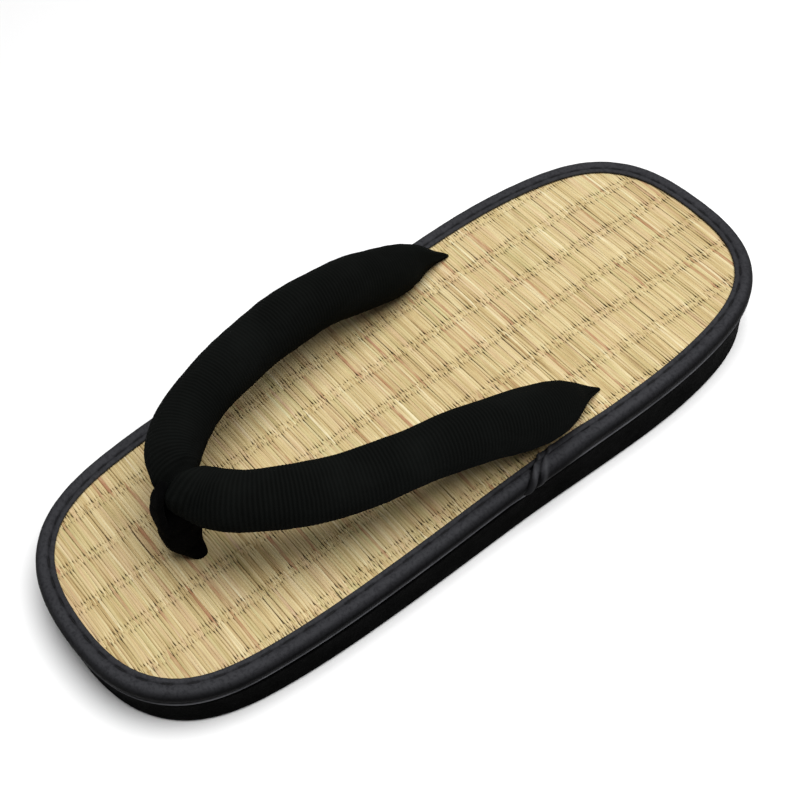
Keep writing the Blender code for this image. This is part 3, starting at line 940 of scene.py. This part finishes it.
# --------------------------------------------------------------------- post
# Station, height, half width, half depth. The stem goes from the footbed to the underside of
# the joint, and the band from the stem over the joint's front.
STEM = (
    (85.9, -1.4, 3.2, 2.4), (86.0, 0.4, 3.5, 2.8), (86.9, 4.5, 3.9, 4.2), (87.8, 9.5, 4.5, 5.8),
    (88.1, 14.5, 4.6, 6.3), (87.7, 19.5, 4.6, 5.9), (86.7, 24.0, 4.4, 5.2), (85.3, 27.5, 4.0, 4.2),
    (84.4, 30.0, 3.2, 3.0),
)
BAND = (
    (90.2, 13.0, 3.2, 2.1), (92.0, 18.0, 3.4, 1.9), (92.7, 23.5, 3.2, 1.6), (92.4, 29.5, 2.9, 1.4),
    (91.3, 33.6, 2.6, 1.3), (89.6, 36.4, 2.2, 1.2), (87.6, 38.2, 1.8, 1.0),
)


def soft_tube(table, rings, sides, seed, creases):
    rows = np.array(table)
    knots = chord(rows[:, :2])
    where = np.linspace(0.0, knots[-1], rings)
    values = spline(knots, rows, where)
    path = np.column_stack([-1.2 * smooth((8.0 - values[:, 1]) / 9.0), values[:, :2]])
    way = np.gradient(path, axis=0)
    way /= np.linalg.norm(way, axis=1)[:, None]
    side = np.tile((1.0, 0.0, 0.0), (len(path), 1))
    back = np.cross(way, side)
    angle = np.linspace(0.0, 2.0 * math.pi, sides, endpoint=False)[None, :]
    s = where[:, None]
    square = 1.0 / (np.abs(np.cos(angle)) ** 2.6 + np.abs(np.sin(angle)) ** 2.6) ** (1 / 2.6)
    grid = (path[:, None, :] + (square * np.cos(angle) * values[:, 2:3])[..., None] * side[:, None, :]
            + (square * np.sin(angle) * values[:, 3:4])[..., None] * back[:, None, :])
    normal = grid_normals(grid)
    if ((grid - grid.mean(axis=1, keepdims=True)) * normal).sum() < 0.0:
        normal = -normal
    lump = 0.13 * np.sin(s / 3.3 + 2.0 * angle + seed) + 0.08 * np.sin(s / 1.7 - 3.0 * angle + seed)
    for place, wide, deep, phase in creases:
        lump = lump - deep * np.exp(-((s - place - 1.1 * np.cos(angle + phase)) / wide) ** 2)
    ends = smooth(s / 2.0) * smooth((knots[-1] - s) / 3.0)
    grid = grid + normal * (lump * ends)[..., None]
    cap = path[-1] + way[-1] * 0.7 + (grid[-1] - path[-1]) * 0.5
    loops = np.concatenate([grid, cap[None]], axis=0)
    faces = grid_faces(len(loops), sides)
    faces.append(tuple(range(sides))[::-1])
    faces.append(tuple((len(loops) - 1) * sides + k for k in range(sides)))
    return loops.reshape(-1, 3), faces


def make_post(material):
    stem, stem_faces = soft_tube(STEM, 84, 56, 0.4, ((11.0, 1.1, 0.16, 0.3), (20.5, 1.0, 0.14, 2.0)))
    band, band_faces = soft_tube(BAND, 84, 48, 1.9, ((9.0, 0.9, 0.12, 1.0), (19.5, 0.9, 0.14, 2.4)))
    faces = stem_faces + [tuple(len(stem) + i for i in f) for f in band_faces]
    obj = build("napped_post", to_ground(np.vstack([stem, band])), faces, material,
                ("toe_post",), fix_normals=True)
    return obj


# ------------------------------------------------------- floor, light, view
def make_studio():
    mesh = bpy.data.meshes.new("floor")
    size = 4.0
    mesh.from_pydata([(-size, -size, 0), (size, -size, 0), (size, size, 0), (-size, size, 0)], [], [(0, 1, 2, 3)])
    floor = bpy.data.objects.new("floor", mesh)
    floor.location.z = -0.0001
    bpy.context.scene.collection.objects.link(floor)
    n = Nodes("floor_paper")
    n.link(n.ramp(n.noise(n.coordinates((1.0, 1.0, 1.0)), 3.0, 2.0), [
        (0.3, (0.885, 0.885, 0.885)), (0.7, (0.90, 0.90, 0.90))]), n.shader.inputs["Base Color"])
    n.shader.inputs["Roughness"].default_value = 0.9
    n.shader.inputs["Specular IOR Level"].default_value = 0.1
    mesh.materials.append(n.material)

    world = bpy.data.worlds.new("studio")
    world.use_nodes = True
    world.node_tree.nodes["Background"].inputs["Color"].default_value = (1.0, 1.0, 1.0, 1.0)
    world.node_tree.nodes["Background"].inputs["Strength"].default_value = 0.080
    bpy.context.scene.world = world

    def area(name, place, target, size, energy):
        data = bpy.data.lights.new(name, "AREA")
        data.shape = "DISK"
        data.size = size
        data.energy = energy
        lamp = bpy.data.objects.new(name, data)
        bpy.context.scene.collection.objects.link(lamp)
        lamp.location = place
        lamp.rotation_euler = (Vector(target) - Vector(place)).to_track_quat("-Z", "Y").to_euler()

    area("key_softbox", (-0.16, -0.07, 0.87), (0.0, 0.0, 0.0), 0.74, 11.9)
    area("rim_softbox", (0.75, -0.45, 0.60), (0.0, 0.0, 0.02), 0.6, 0.9)


def make_camera():
    """The photograph's eye point and roll, turned to the one sandal, with a longer lens."""
    eye = Vector((-209.52, 154.14, 368.88)) * MM
    look = Vector((-46.10, -33.44, 22.62)) * MM
    level = Vector((0.0, 0.03054, 0.99953))
    roll = math.radians(4.76)
    ahead = (look - eye).normalized()
    right = ahead.cross(level).normalized()
    up = right.cross(ahead)
    right, up = (math.cos(roll) * right + math.sin(roll) * up,
                 -math.sin(roll) * right + math.cos(roll) * up)
    aim = Vector((3.0, 3.0, 19.0)) * MM
    turn = ahead.rotation_difference((aim - eye).normalized())
    right, up, ahead = turn @ right, turn @ up, turn @ ahead
    data = bpy.data.cameras.new("camera")
    data.sensor_width = 36.0
    data.sensor_fit = "HORIZONTAL"
    data.lens = 36.59 * 1.628
    data.clip_start = 0.01
    camera = bpy.data.objects.new("camera", data)
    bpy.context.scene.collection.objects.link(camera)
    camera.matrix_world = Matrix((
        (right.x, up.x, -ahead.x, eye.x),
        (right.y, up.y, -ahead.y, eye.y),
        (right.z, up.z, -ahead.z, eye.z),
        (0.0, 0.0, 0.0, 1.0)))
    bpy.context.scene.camera = camera


def main():
    bpy.context.scene.view_settings.view_transform = "Standard"
    make_camera()
    make_studio()
    make_backing(backing_material())
    make_stalks(rush_material())
    make_warps(warp_material())
    make_binding(vinyl_material())
    thread = thread_material()
    make_stitches(thread)
    make_sole(foam_material())
    make_straps(cloth_material())
    make_post(velvet_material())


main()
